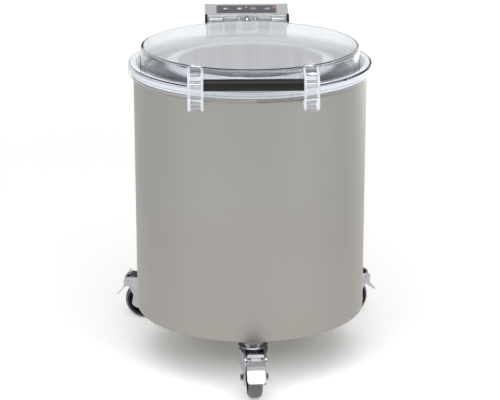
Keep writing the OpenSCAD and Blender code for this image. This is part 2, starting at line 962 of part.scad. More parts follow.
// One clear arm: a channel open at the back, with a lip that reaches under the bead
module arm(s) {
  x0 = s * arm_x - arm_w / 2;
  x1 = s * arm_x + arm_w / 2;
  lip_clear = 0.6;
  pocket_edge = 6.5;
  pocket_depth = 1.2;
  color(clear)
    difference() {
      union() {
        difference() {
          along_x(x0, x1) arm_outline(0);
          along_x(x0 + arm_wall, x1 - arm_wall) {
            translate([arm_wall, 0]) arm_outline(arm_wall);
            translate([pivot_y, pivot_z]) circle(arm_eye + 1);
            polygon([
              [grip_y + 4, grip_z + 20 - arm_wall],
              [pivot_y, pivot_z + arm_eye - arm_wall],
              [pivot_y, pivot_z - arm_eye - 1],
              [grip_y + 19, grip_z + 3],
              [grip_y + 15, grip_z - 13],
              [arm_back + 1, grip_z - 25],
              [arm_back + 1, arm_low + arm_wall],
              [arm_front + arm_wall, arm_low + arm_wall],
              [arm_front + arm_wall, grip_z + 10 - arm_wall]
            ]);
          }
        }
        translate([x0, arm_back - eps, arm_low])
          cube([arm_w, -arm_back, lip_t]);
      }
      translate([x0 + pocket_edge, arm_front - eps, arm_low + lip_t + 2])
        cube([arm_w - 2 * pocket_edge, pocket_depth + eps, grip_z - arm_low - lip_t - 4]);
      cylinder(h = big, r = bead_out + lip_clear);
      cross_bar(pivot_y, pivot_z, arm_pin_d / 2 + run_gap, big);
      cross_bar(grip_y, grip_z, rod_d / 2, big);
    }
}

module left_arm() { arm(-1); }
module right_arm() { arm(1); }

// Steel rod between the arms
module handle_rod() {
  color(bright) cross_bar(grip_y, grip_z, rod_d / 2, arm_pitch + arm_w);
}

// Black grip on the rod
module handle_grip() {
  color(black)
    difference() {
      cross_bar(grip_y, grip_z, grip_d / 2, 2 * arm_in);
      cross_bar(grip_y, grip_z, rod_d / 2, big);
    }
}

// Round top plates of the casters with their king pins
module caster_plates() {
  color(bright)
    for (c = [FRONT, LEFT, RIGHT])
      translate([c[0][0], c[0][1], 0])
        rotate_extrude() {
          translate([0, plate_z]) square([plate_r, plate_t]);
          translate([0, crown_z - 3]) square([king_r, plate_z - crown_z + 3 + eps]);
          translate([0, crown_z - 3 - move_gap]) square([king_r + 4, 3]);
        }
}

// Places a piece drawn with the swivel axis at the origin and the wheel along +X
module at_caster(c) {
  translate([c[0][0], c[0][1], 0]) rotate([0, 0, c[1]]) children();
}

// Extrudes an outline drawn in X and Z along Y from y0 to y1
module along_y(y0, y1) {
  translate([0, y1, 0]) rotate([90, 0, 0]) linear_extrude(height = y1 - y0) children();
}

// The two cheeks of a fork from the front: thick below the crown, drawn in to the axle
module cheeks_outline() {
  for (side = [0, 1])
    mirror([side, 0])
      polygon([
        [leg_in, 0], [leg_in, crown_top], [cheek_out, crown_top], [cheek_out, shoulder_z],
        [leg_in + leg_t, shoulder_low], [leg_in + leg_t, 0]
      ]);
}

// The same cheeks from above: drawn in from the crown to the pedal's eye
module cheeks_plan() {
  reach = pedal_pivot[0] + eye_r + 1;
  eye_back = pedal_pivot[0] - eye_r - 3.5;
  for (side = [0, 1])
    mirror([0, side])
      polygon([
        [-swivel_r, 0], [-swivel_r, cheek_out], [cheek_wide, cheek_out], [eye_back, leg_in + leg_t],
        [reach, leg_in + leg_t], [reach, 0]
      ]);
}

// A fork's cheek from the side: the arm with the eye for the brake pedal, and the wide leg
module leg_outline() {
  top = flange_low + 2;
  back = -16;
  foot = 24;
  toe = 15;
  polygon([
    [back, top], [cheek_wide, top], [pedal_pivot[0], pedal_pivot[1] + eye_r],
    [pedal_pivot[0], pedal_pivot[1] - eye_r], [trail + 20, shoulder_low + 3],
    [trail + foot, wheel_r - 5], [trail + foot - 4, wheel_r - toe + 4], [trail + foot - 12, wheel_r - toe],
    [trail - 8, wheel_r - toe], [trail - toe, wheel_r - 6], [trail - toe, wheel_r + 6]
  ]);
  translate(pedal_pivot) circle(eye_r);
}

// Fork: a flanged crown, a web over the wheel, and cheeks cut to the outlines of all three views
module fork(c) {
  web = [8, trail + 18];
  web_t = 3.5;
  color(bright)
    at_caster(c)
      difference() {
        union() {
          rotate_extrude()
            polygon([
              [king_r + run_gap, crown_z],
              [swivel_r - 16, crown_z],
              [swivel_r - 9, crown_z + 4],
              [swivel_r - 4, flange_low],
              [swivel_r - 1, flange_low],
              [swivel_r, flange_low + 1],
              [swivel_r, crown_top - 1],
              [swivel_r - 1, crown_top],
              [king_r + run_gap, crown_top]
            ]);
          intersection() {
            along_y(-big, big) leg_outline();
            along_x(-big, big) cheeks_outline();
            linear_extrude(height = caster_h) cheeks_plan();
          }
          translate([web[0], -leg_in - eps, crown_z - eps])
            cube([web[1] - web[0], 2 * (leg_in + eps), web_t]);
        }
        translate([trail, 0, wheel_r]) rotate([90, 0, 0]) cylinder(h = big, r = axle_r, center = true);
        translate([pedal_pivot[0], 0, pedal_pivot[1]])
          rotate([90, 0, 0]) cylinder(h = big, r = pedal_pin_r, center = true);
      }
}

// Wheel core with a hub and a thin web
module wheel(c) {
  boss_r = 12;
  rim_t = 5;
  rim_half = tyre_w / 2 - 2;
  web_half = 5;
  color(black)
    at_caster(c)
      translate([trail, 0, wheel_r])
        rotate([90, 0, 0])
          rotate_extrude() {
            translate([core_r - rim_t, -rim_half]) square([rim_t, 2 * rim_half]);
            translate([axle_r + run_gap, -web_half])
              square([core_r - rim_t - axle_r - run_gap + eps, 2 * web_half]);
            translate([axle_r + run_gap, move_gap - leg_in])
              square([boss_r - axle_r - run_gap, 2 * (leg_in - move_gap)]);
          }
}

// Grey tyre with rounded shoulders
module tyre(c) {
  shoulder = 11;
  color(rubber)
    at_caster(c)
      translate([trail, 0, wheel_r])
        rotate([90, 0, 0])
          rotate_extrude()
            for (side = [0, 1])
              mirror([0, side])
                difference() {
                  rounded_profile(wheel_r, 0, tyre_w / 2, shoulder);
                  translate([-1, -1]) square([core_r + 1, tyre_w]);
                }
}

// Axle bolt with its head and nut, and the pedal's pin
module axle(c) {
  out = leg_in + leg_t;
  color(bright)
    at_caster(c) {
      translate([trail, 0, wheel_r])
        rotate([90, 0, 0]) {
          cylinder(h = 2 * out + 2 * eps, r = axle_r, center = true);
          for (s = [-1, 1])
            translate([0, 0, s * (out + nut_t / 2)]) cylinder(h = nut_t, r = nut_r, center = true, $fn = 6);
        }
      translate([pedal_pivot[0], 0, pedal_pivot[1]])
        rotate([90, 0, 0]) cylinder(h = 2 * (leg_in + leg_t + 1), r = pedal_pin_r, center = true);
    }
}

// Brake pedal: a barrel on its pin, a sloping tread below it and a release tab above it
module pedal(c) {
  px = pedal_pivot[0];
  pz = pedal_pivot[1];
  sleeve_r = 10;
  slope = 49;
  tread = [35, 2 * pedal_half];
  tread_mid = [px + 20, pz - 25.5];
  tread_round = 8;
  tab = [7, 36];
  tab_mid = [px + 5.5, pz + 14.5];
  stem_w = 22;
  color(bright)
    at_caster(c)
      difference() {
        union() {
          along_y(-pedal_half, pedal_half) {
            translate(pedal_pivot) circle(sleeve_r);
            polygon([[px + 9, pz + 4], [px + 13, pz - 14], [px + 8, pz - 15], [px, pz - 9]]);
          }
          along_y(-stem_w / 2, stem_w / 2)
            polygon([
              [px + 2, pz + 8], [px + 9, pz + 2], [px + 13.5, pz + 5.5], [px + 7, pz + 13.5],
              [px + 5, pz + 11.8], [px + 9.5, pz + 6.4]
            ]);
          translate([tread_mid[0], 0, tread_mid[1]])
            rotate([0, slope, 0])
              translate([0, 0, -pedal_sheet / 2]) round_plate(tread, tread_round, pedal_sheet);
          translate([tab_mid[0], 0, tab_mid[1]])
            rotate([0, slope, 0])
              translate([0, 0, -pedal_sheet / 2]) round_plate(tab, 2, pedal_sheet);
        }
        translate([px, 0, pz])
          rotate([90, 0, 0]) cylinder(h = big, r = pedal_pin_r + run_gap, center = true);
      }
}

drum_shell();
rim_gasket();
tank_floor();
drive_bridge();
chassis();
bearing_housing();
ball_bearings();
shaft_seal();
drain_spigot();
drive_motor();
motor_plate();
drive_belt();
column_housing();
rear_cover();
control_head();
keypad_frame();
control_board();
hinge_brackets();
hinge_pin();
hinge_caps();
lid_switch();
cable_gland();
cover_screws();
drive_shaft();
driven_pulley();
basket_hub();
basket_wall();
basket_floor();
basket_collar();
basket_knob();
motor_shaft();
motor_pulley();
lid_shell();
lid_hinge_block();
handle_pins();
left_arm();
right_arm();
handle_rod();
handle_grip();
key(0);  // start_key
key(1);  // stop_key
key(2);  // time_key
key(3);  // speed_key
caster_plates();
fork(FRONT);  // front_fork
wheel(FRONT);  // front_wheel
tyre(FRONT);  // front_tyre
axle(FRONT);  // front_axle
pedal(FRONT);  // front_pedal
fork(LEFT);  // left_fork
wheel(LEFT);  // left_wheel
tyre(LEFT);  // left_tyre
axle(LEFT);  // left_axle
pedal(LEFT);  // left_pedal
fork(RIGHT);  // right_fork
wheel(RIGHT);  // right_wheel
tyre(RIGHT);  // right_tyre
axle(RIGHT);  // right_axle
pedal(RIGHT);  // right_pedal
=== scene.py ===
# %% [markdown]
# A floor-standing salad dryer, dressed for its picture. The shapes come ready from the CAD model:
# every sheet, wheel and key is already a solid in its place. This lesson gives those solids the
# finishes of the real machine, adds the small printed and glowing things that nobody would mill
# from solid, and sets up a plain studio. The first cell loads the frame.

# %% Load the frame
import json
import math

import bmesh
import bpy
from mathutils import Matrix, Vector


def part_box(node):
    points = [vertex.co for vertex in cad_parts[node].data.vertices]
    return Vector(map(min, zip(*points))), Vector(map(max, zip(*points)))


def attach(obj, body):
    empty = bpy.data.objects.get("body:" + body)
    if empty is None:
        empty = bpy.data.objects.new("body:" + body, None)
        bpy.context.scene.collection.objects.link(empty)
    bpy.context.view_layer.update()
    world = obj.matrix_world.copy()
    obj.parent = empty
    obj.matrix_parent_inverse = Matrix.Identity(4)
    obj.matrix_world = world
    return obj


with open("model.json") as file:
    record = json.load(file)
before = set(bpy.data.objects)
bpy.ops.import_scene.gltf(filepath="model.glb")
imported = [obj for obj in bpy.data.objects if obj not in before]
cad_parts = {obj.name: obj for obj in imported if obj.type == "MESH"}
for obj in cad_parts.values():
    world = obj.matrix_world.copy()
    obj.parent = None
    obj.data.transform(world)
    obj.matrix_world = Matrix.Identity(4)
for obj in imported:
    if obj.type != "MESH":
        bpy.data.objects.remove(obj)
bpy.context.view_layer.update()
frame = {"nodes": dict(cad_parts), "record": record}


def rounded(corners):
    return [tuple(round(v, 4) for v in corner) for corner in corners]


# %% [markdown]
# The picture was taken from a little above with a long lens, so the round drum shows almost
# straight sides. A camera is a lens length, a point to look at, a distance and two angles. Those
# five numbers are kept together here, because any of them alone would shift the whole outline.
# Shift stays at zero and depth of field stays off, so other views of the machine stay sharp.

# %% Camera
LENS = 136.74
LOOK_AT = Vector((-0.0001, 0.0, 0.3609))
DISTANCE = 4.296
AZIMUTH = math.radians(-1.5)
ELEVATION = math.radians(17.7)
SENSOR_WIDTH = 36.0
FAR_CLIP = 60.0


def add_object(name, data):
    made = bpy.data.objects.new(name, data)
    bpy.context.scene.collection.objects.link(made)
    return made


def facing(direction):
    return direction.to_track_quat("-Z", "Y").to_euler()


toward_camera = Vector((
    math.sin(AZIMUTH) * math.cos(ELEVATION),
    -math.cos(AZIMUTH) * math.cos(ELEVATION),
    math.sin(ELEVATION),
))
camera = add_object("studio_camera", bpy.data.cameras.new("studio_camera"))
camera.data.lens = LENS
camera.data.sensor_width = SENSOR_WIDTH
camera.data.clip_end = FAR_CLIP
camera.location = LOOK_AT + toward_camera * DISTANCE
camera.rotation_euler = facing(-toward_camera)
bpy.context.scene.camera = camera
bpy.context.scene.view_settings.view_transform = "Standard"
print("camera at", tuple(round(v, 3) for v in camera.location))

# %% [markdown]
# A finish is a sum: a little noise times a little strength, added to a base. Written with nodes
# that sum is a tangle, so this cell wraps a socket in a small class that knows plus, minus and
# times, also with a plain number in front. Each sign adds one Math node. Everything that isn't a
# sum comes from the one method called node, which sets a node's own settings first and then fills
# or links its sockets.

# %% Arithmetic on sockets
class Wire:
    """A shader socket that takes part in Python sums."""

    def __init__(self, tree, socket=None):
        self.tree = tree
        self.socket = socket

    def node(self, kind, settings=None, sockets=None, out=0):
        made = self.tree.nodes.new(kind)
        for name, value in (settings or {}).items():
            setattr(made, name, value)
        for name, value in (sockets or {}).items():
            if isinstance(value, Wire):
                self.tree.links.new(value.socket, made.inputs[name])
            else:
                made.inputs[name].default_value = value
        return Wire(self.tree, made.outputs[out] if made.outputs else None)

    def sum_of(self, operation, first, second):
        return self.node("ShaderNodeMath", {"operation": operation}, {0: first, 1: second})

    def __add__(self, other):
        return self.sum_of("ADD", self, other)

    def __radd__(self, other):
        return self.sum_of("ADD", other, self)

    def __sub__(self, other):
        return self.sum_of("SUBTRACT", self, other)

    def __rsub__(self, other):
        return self.sum_of("SUBTRACT", other, self)

    def __mul__(self, other):
        return self.sum_of("MULTIPLY", self, other)

    def __rmul__(self, other):
        return self.sum_of("MULTIPLY", other, self)


print("a wire knows the signs", *"+-*")

# %% [markdown]
# Colours are easiest to judge as the numbers a paint program shows, from 0 to 255. Blender works
# in linear light, so one helper converts them along the standard curve of screens. A second one
# mixes two colours. A Mix node has a set of sockets for each kind of value and they share their
# names, so the ones for colours are picked by number.

# %% Colours
MIX_SHARE, MIX_FIRST, MIX_SECOND, MIX_RESULT = 0, 6, 7, 2


def tint(red, green, blue):
    def linear(v):
        v = v / 255
        return v / 12.92 if v <= 0.04045 else ((v + 0.055) / 1.055) ** 2.4

    return (linear(red), linear(green), linear(blue), 1.0)


def blend(bench, share, first, second):
    return bench.node("ShaderNodeMix", {"data_type": "RGBA"},
                      {MIX_SHARE: share, MIX_FIRST: first, MIX_SECOND: second}, out=MIX_RESULT)


print("a middle grey of 128 is", round(tint(128, 128, 128)[0], 3), "in linear light")

# %% [markdown]
# A pattern starts from a place on the piece. Places are metres here, so a noise of scale 1000 has
# grains of about a millimetre, and squeezing the place in one direction draws the grains out into
# lines. A place can also be taken apart, into its three axes or into the distance from the drum's
# axis and the level. A soft step makes a mask of any of these, and a bump makes a relief of it.

# %% Patterns and masks
def stretched(bench, where, x, y, z):
    return bench.node("ShaderNodeVectorMath", {"operation": "MULTIPLY"}, {0: where, 1: (x, y, z)})


def noise(bench, where, scale=1.0, detail=2.0, rough=0.5):
    return bench.node("ShaderNodeTexNoise", None,
                      {"Vector": where, "Scale": scale, "Detail": detail, "Roughness": rough})


def relief(bench, height, strength, depth):
    return bench.node("ShaderNodeBump", None,
                      {"Height": height, "Strength": strength, "Distance": depth})


def axis_parts(bench, where):
    made = bench.node("ShaderNodeSeparateXYZ", None, {"Vector": where}).socket.node
    return [Wire(bench.tree, socket) for socket in made.outputs]


def from_axis(bench, where):
    x, y, level = axis_parts(bench, where)
    flat = bench.node("ShaderNodeCombineXYZ", None, {"X": x, "Y": y})
    away = bench.node("ShaderNodeVectorMath", {"operation": "LENGTH"}, {0: flat}, out="Value")
    return away, level


def without_sign(bench, value):
    return bench.node("ShaderNodeMath", {"operation": "ABSOLUTE"}, {0: value})


def step(bench, value, low, high):
    return bench.node("ShaderNodeMapRange", {"interpolation_type": "SMOOTHSTEP"},
                      {"Value": value, "From Min": low, "From Max": high})


print("a noise of scale 900 has grains of about", round(1000 / 900, 1), "mm")

# %% [markdown]
# The finishes are all made in the same order: a new material is emptied, its patterns are drawn,
# and a shader takes them in. These helpers open and close a finish. Opening also notes the
# material by its name, so that the solids can be dressed by name later, and hands out the place
# that the patterns start from.

# %% Open and close a finish
finishes = {}


def open_finish(name):
    finish = bpy.data.materials.new(name)
    finish.use_nodes = True
    finish.node_tree.nodes.clear()
    finishes[name] = finish
    bench = Wire(finish.node_tree)
    return bench, bench.node("ShaderNodeTexCoord", out="Object")


def shader(bench, **sockets):
    named = {key.replace("_", " ").title().replace("Ior", "IOR"): value
             for key, value in sockets.items()}
    return bench.node("ShaderNodeBsdfPrincipled", None, named)


def either(bench, share, first, second):
    return bench.node("ShaderNodeMixShader", None, {0: share, 1: first, 2: second})


def close_finish(bench, **sockets):
    bench.node("ShaderNodeOutputMaterial", None, {"Surface": shader(bench, **sockets)})


def node_counts(*names):
    return {name: len(finishes[name].node_tree.nodes) for name in names}


print("finishes so far:", len(finishes))

# %% [markdown]
# The drum, the column and the control head are satin stainless sheet. The rolls that finish such
# sheet leave hair-fine lines along it, which run level around the drum. Lines like that are a
# noise squeezed hard in one direction. On top lie two slow clouds: the sheet is never quite one
# grey, and hands and wiping leave patches that shine a little less. The edge near the floor is a
# touch warmer. The head gets the same recipe with a duller gloss and a much paler grey. That paler
# grey is painted light: the head is the drum's steel, lightened because it faces the light above.

# %% Satin steel sheet
WARM_BELOW, COOL_ABOVE = 0.12, 0.45


def satin_steel(name, dark, pale, near_floor, gloss, metal):
    bench, where = open_finish(name)
    lines = noise(bench, stretched(bench, where, 6, 6, 1500), detail=3.0, rough=0.6)
    clouds = noise(bench, where, scale=4.5, detail=3.0, rough=0.55)
    wipes = noise(bench, stretched(bench, where, 9, 9, 3), detail=4.0, rough=0.6)
    _, _, level = axis_parts(bench, where)
    low = 1 - step(bench, level, WARM_BELOW, COOL_ABOVE)
    grey = blend(bench, clouds * 0.6 + lines * 0.4, dark, pale)
    close_finish(
        bench, base_color=blend(bench, low * 0.5, grey, near_floor), metallic=metal,
        roughness=gloss + lines * 0.06 + wipes * 0.07,
        normal=relief(bench, lines, strength=0.12, depth=0.0002),
    )


satin_steel("satin_steel", dark=tint(149, 147, 143), pale=tint(162, 160, 156),
            near_floor=tint(162, 154, 149), gloss=0.4, metal=1.0)
# The head's copy: a duller gloss, and a paler grey that is painted light from above.
satin_steel("dull_and_lit_steel", dark=tint(206, 206, 207), pale=tint(220, 220, 221),
            near_floor=tint(206, 206, 206), gloss=0.55, metal=0.55)
print("nodes:", node_counts("satin_steel", "dull_and_lit_steel"))

# %% [markdown]
# The basket is spun on a lathe, so its tool marks are rings around the axis. Each ring smears what
# it mirrors outward, across itself. A bump that fine would only sparkle, so the shader's
# anisotropic setting does the smearing: its direction runs round the axis at first, and a quarter
# turn points it outward. The rings themselves are a noise that depends only on the distance from
# the axis and on the level. Round its mouth the collar has a matt band from brushing, rougher and
# less metallic, and its pale colour is a painted highlight for the light that band shows. The band
# is a mask by the same distance.

# %% Spun steel
MOUTH_BAND = 0.178
MOUTH_FADE = 0.016
QUARTER_TURN = 0.25


def spun_steel(name, matt_and_highlit_mouth=False):
    bench, where = open_finish(name)
    away, level = from_axis(bench, where)
    track = bench.node("ShaderNodeCombineXYZ", None, {"X": away, "Y": level})
    rings = noise(bench, track, scale=150.0)
    wide = noise(bench, track, scale=60.0)
    stains = noise(bench, where, scale=11.0, detail=4.0, rough=0.6)
    colour = blend(bench, wide * 0.7 + stains * 0.3, tint(156, 159, 166), tint(184, 187, 194))
    rough = 0.18 + rings * 0.08 + stains * 0.05
    metal = 1.0
    if matt_and_highlit_mouth:
        # Rougher and less metallic round the mouth, and the pale colour there is a painted
        # highlight.
        mouth_highlight_and_matt = 1 - step(bench, away, MOUTH_BAND, MOUTH_BAND + MOUTH_FADE)
        colour = blend(bench, mouth_highlight_and_matt, colour, tint(228, 231, 235))
        rough = rough + mouth_highlight_and_matt * 0.2
        metal = 1 - mouth_highlight_and_matt * 0.5
    close_finish(
        bench, base_color=colour, metallic=metal, roughness=rough,
        anisotropic=0.5, anisotropic_rotation=QUARTER_TURN,
        normal=relief(bench, rings, strength=0.04, depth=0.0001),
    )


spun_steel("spun_steel")
spun_steel("collar_steel", matt_and_highlit_mouth=True)
print("nodes:", node_counts("spun_steel", "collar_steel"))

# %% [markdown]
# The basket's wall is rolled from sheet instead, so its grain stands upright: a noise over the
# angle around the axis that hardly changes with the level. The angle times the wall's radius is a
# length in metres, so the grain keeps its real width.

# %% Rolled steel
WALL_RADIUS = 0.23
UPRIGHT_STRETCH = 0.04


def rolled_steel(name):
    bench, where = open_finish(name)
    x, y, level = axis_parts(bench, where)
    angle = bench.node("ShaderNodeMath", {"operation": "ARCTAN2"}, {0: y, 1: x})
    upright = bench.node("ShaderNodeCombineXYZ", None,
                         {"X": angle * WALL_RADIUS, "Y": level * UPRIGHT_STRETCH})
    streaks = noise(bench, upright, scale=32.0, detail=3.0, rough=0.6)
    grain = noise(bench, upright, scale=900.0, rough=0.6)
    soft = step(bench, streaks, 0.36, 0.66)
    close_finish(
        bench, base_color=blend(bench, soft, tint(226, 229, 234), tint(254, 254, 255)),
        metallic=0.15, roughness=0.38 + grain * 0.08,
        normal=relief(bench, grain, strength=0.08, depth=0.0001),
    )


rolled_steel("rolled_steel")
print("nodes:", node_counts("rolled_steel"))

# %% [markdown]
# Below the drum hides the workshop side of the machine: a base plate with a powder coat, a cast
# bearing housing and pulleys, and an enamelled motor. Powder coat has the skin of an orange, cast
# metal has coarse grain, and enamel is smooth with runs. One function makes all three, because
# they differ only in colour, grain and gloss.

# %% Painted and cast metal
def coated_metal(name, dark, pale, grain, depth, gloss, metal):
    bench, where = open_finish(name)
    skin = noise(bench, where, scale=grain)
    dust = noise(bench, where, scale=9.0, detail=5.0, rough=0.65)
    close_finish(
        bench, base_color=blend(bench, dust * 0.75 + skin * 0.25, dark, pale), metallic=metal,
        roughness=gloss + dust * 0.15,
        normal=relief(bench, skin, strength=0.3, depth=depth),
    )


coated_metal("painted_steel", dark=tint(112, 113, 116), pale=tint(134, 135, 137),
             grain=900.0, depth=0.0003, gloss=0.38, metal=0.0)
coated_metal("cast_metal", dark=tint(128, 128, 130), pale=tint(158, 158, 159),
             grain=420.0, depth=0.0006, gloss=0.45, metal=0.85)
coated_metal("motor_paint", dark=tint(62, 68, 74), pale=tint(84, 90, 96),
             grain=260.0, depth=0.0003, gloss=0.26, metal=0.0)
print("nodes:", node_counts("painted_steel", "cast_metal", "motor_paint"))

# %% [markdown]
# Shafts, pins and screws are turned and ground steel, and the casters are pressed from sheet and
# then plated. Plating is a mirror with a haze: it shows the dark and bright parts of the room, and
# use dulls it in spots. Fine scratches are another squeezed noise, and a coarser noise thresholds
# into the dull spots. The pedals get the same recipe with a second, darker and rougher steel above
# one level, over the tab and the barrel. That darker grey is painted shade, which keeps those tops
# from glaring white under the lamp above.

# %% Bright and plated steel
TAB_LEVEL = 0.0875
TAB_FADE = 0.001


def plated_steel(name, dark, pale, gloss, scratch, dullness, metal, tab_shade_steel=None):
    bench, where = open_finish(name)
    hair = noise(bench, stretched(bench, where, 60, 60, 900), detail=3.0, rough=0.6)
    haze = noise(bench, where, scale=55.0, detail=4.0, rough=0.6)
    spots = noise(bench, where, scale=140.0, detail=3.0, rough=0.55)
    colour = blend(bench, haze, dark, pale)
    rough = gloss + haze * 0.08 + step(bench, spots, 0.58, 0.72) * dullness
    if tab_shade_steel:
        _, _, level = axis_parts(bench, where)
        # Above this level the tab and barrel take a darker steel: painted shade against the lamp
        # above.
        tab_shade_mask = step(bench, level, TAB_LEVEL, TAB_LEVEL + TAB_FADE)
        colour = blend(bench, tab_shade_mask, colour, blend(bench, hair, tab_shade_steel, pale))
        rough = rough + tab_shade_mask * 0.2
    close_finish(
        bench, base_color=colour, metallic=metal, roughness=rough,
        normal=relief(bench, hair, strength=scratch, depth=0.0001),
    )


ZINC = dict(dark=tint(160, 160, 165), pale=tint(190, 190, 195),
            gloss=0.19, scratch=0.06, dullness=0.14, metal=0.95)
plated_steel("bright_steel", dark=tint(188, 189, 191), pale=tint(214, 215, 217),
             gloss=0.16, scratch=0.1, dullness=0.1, metal=1.0)
plated_steel("zinc", **ZINC)
plated_steel("pedal_steel", **ZINC, tab_shade_steel=tint(96, 95, 93))
print("nodes:", node_counts("bright_steel", "zinc", "pedal_steel"))

# %% [markdown]
# The lid, its hinge moulding and the two arms are clear plastic with real walls, so the renderer
# can bend light through them and the edges draw themselves. Clear plastic would also block the
# lamps, and the basket under it would sit in the dark. Mixing in a see-through shader for shadow
# rays alone lets the lamps in. Kitchen use leaves a faint haze, so the gloss varies slowly. The
# hinge moulding is thicker and milkier, so less light goes through it. Each arm is a clear channel
# with frosted flanks: a mask by the distance from the arm's middle, which the frame gives, mixes
# in a plain pale plastic there.

# %% Clear plastic
def middle_of(node):
    low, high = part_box(node)
    return (Vector(low) + Vector(high)) / 2


ARM_MIDDLE = middle_of("right_arm").x
ARM_POCKET = 0.0100
ARM_FLANK = 0.0125
FROST_SHARE = 0.35
REFRACTION = 1.49
SHADOW_TINT = (0.94, 0.95, 0.96, 1.0)


def arm_flanks(bench, where):
    x, _, _ = axis_parts(bench, where)
    off = without_sign(bench, without_sign(bench, x) - ARM_MIDDLE)
    return step(bench, off, ARM_POCKET, ARM_FLANK)


def clear_plastic(name, clarity, frosted=None):
    bench, where = open_finish(name)
    haze = noise(bench, where, scale=7.0, detail=4.0, rough=0.6)
    flow = noise(bench, stretched(bench, where, 14, 14, 40))
    plastic = shader(
        bench, base_color=blend(bench, haze, tint(240, 243, 247), tint(248, 250, 252)),
        roughness=0.02 + haze * 0.05, ior=REFRACTION, transmission_weight=clarity,
        normal=relief(bench, flow, strength=0.02, depth=0.0006),
    )
    if frosted:
        frost = shader(
            bench, base_color=blend(bench, haze, tint(236, 238, 242), tint(246, 247, 250)),
            roughness=0.3 + haze * 0.1,
        )
        plastic = either(bench, frosted(bench, where) * FROST_SHARE, plastic, frost)
    opening = bench.node("ShaderNodeBsdfTransparent", None, {"Color": SHADOW_TINT})
    shadow = bench.node("ShaderNodeLightPath", out="Is Shadow Ray")
    bench.node("ShaderNodeOutputMaterial", None,
               {"Surface": either(bench, shadow, plastic, opening)})


clear_plastic("clear_plastic", clarity=1.0)
clear_plastic("milky_plastic", clarity=0.88)
clear_plastic("arm_plastic", clarity=0.97, frosted=arm_flanks)
print("nodes:", node_counts("clear_plastic", "milky_plastic", "arm_plastic"))

# %% [markdown]
# Black plastic and the rubbers reflect little, so their character is in the grain. The grip and
# the wheel cores are moulded with a spark-eroded texture, the tyres are grey rubber that picks up
# floor dust, and the edging on the rim is pale silicone. Two thin grey lines are painted round the
# edging: painted shade where the steps of the clear lid's flange lie over it. The colour and the
# grain change, the recipe stays, and each line is a mask by the distance from a level. The levels
# are measured down from the edging's top.

# %% Plastics and rubbers
RIM_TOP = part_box("rim_gasket")[1][2]
RIM_SHADE_LINES = (RIM_TOP - 0.0130, RIM_TOP - 0.0032)
SHADE_LINE_CORE, SHADE_LINE_EDGE = 0.0006, 0.0016
SHADE_LINE_SHARE = 0.65
SHADE_LINE_GREY = tint(164, 167, 177)


def moulded(name, dark, pale, grain, depth, gloss, dusty, shine=0.5, shade_lines=()):
    bench, where = open_finish(name)
    fine = noise(bench, where, scale=grain, rough=0.55)
    wear = noise(bench, where, scale=24.0, detail=5.0, rough=0.65)
    rubs = noise(bench, stretched(bench, where, 40, 40, 160), detail=4.0, rough=0.6)
    scuffs = step(bench, rubs, 0.55, 0.75)
    colour = blend(bench, wear * 0.7 + scuffs * dusty, dark, pale)
    # Each line is painted shade: a grey ring where the lid's flange steps lie over the edging.
    for shade_line in shade_lines:
        _, _, level = axis_parts(bench, where)
        off = step(bench, without_sign(bench, level - shade_line), SHADE_LINE_CORE, SHADE_LINE_EDGE)
        colour = blend(bench, SHADE_LINE_SHARE - SHADE_LINE_SHARE * off, colour, SHADE_LINE_GREY)
    close_finish(
        bench, base_color=colour, specular_ior_level=shine,
        roughness=gloss + fine * 0.08 + scuffs * 0.1,
        normal=relief(bench, fine, strength=0.25, depth=depth),
    )


moulded("black_plastic", dark=tint(10, 10, 12), pale=tint(24, 25, 28),
        grain=1600.0, depth=0.0002, gloss=0.36, dusty=0.3, shine=0.25)
moulded("black_rubber", dark=tint(24, 24, 25), pale=tint(40, 40, 41),
        grain=700.0, depth=0.0004, gloss=0.6, dusty=0.4)
moulded("tyre_rubber", dark=tint(84, 88, 90), pale=tint(112, 115, 117),
        grain=800.0, depth=0.0004, gloss=0.5, dusty=0.5)
moulded("seal_rubber", dark=tint(230, 231, 236), pale=tint(243, 244, 247),
        grain=500.0, depth=0.0003, gloss=0.45, dusty=0.2, shade_lines=RIM_SHADE_LINES)
print("nodes:", node_counts("black_plastic", "black_rubber", "tyre_rubber", "seal_rubber"))

# %% [markdown]
# The keypad is a printed film on a plate. Film is smooth to the hand but has a fine even grain,
# and the print is a cool grey with a slightly paler border. The keys carry the same film. The
# circuit board under them is green lacquer over copper tracks, drawn with a brick pattern.

# %% Keypad film and circuit board
BORDER_START, BORDER_FULL = 0.0690, 0.0695
BORDER_GREY = tint(150, 150, 156)


def keypad_film(name, dark, pale):
    bench, where = open_finish(name)
    x, _, _ = axis_parts(bench, where)
    grain = noise(bench, where, scale=2600.0, detail=1.0, rough=0.4)
    cast = noise(bench, where, scale=40.0, detail=3.0)
    border = step(bench, without_sign(bench, x), BORDER_START, BORDER_FULL)
    film = blend(bench, cast * 0.6 + grain * 0.4, dark, pale)
    close_finish(
        bench, base_color=blend(bench, border, film, BORDER_GREY),
        roughness=0.4 + grain * 0.1,
        normal=relief(bench, grain, strength=0.15, depth=0.00005),
    )


def board_lacquer(name):
    bench, where = open_finish(name)
    tracks = bench.node("ShaderNodeTexBrick", None, {
        "Vector": where, "Scale": 90.0, "Mortar Size": 0.03,
        "Color1": tint(30, 82, 48), "Color2": tint(34, 92, 54), "Mortar": tint(70, 120, 70),
    }, out="Color")
    spots = noise(bench, where, scale=300.0, detail=3.0, rough=0.6)
    close_finish(
        bench, base_color=tracks, roughness=0.3 + spots * 0.2,
        normal=relief(bench, spots, strength=0.2, depth=0.0002),
    )


keypad_film("keypad", dark=tint(92, 91, 99), pale=tint(104, 103, 111))
keypad_film("key_caps", dark=tint(98, 97, 105), pale=tint(110, 109, 117))
board_lacquer("board")
print("nodes:", node_counts("keypad", "key_caps", "board"))

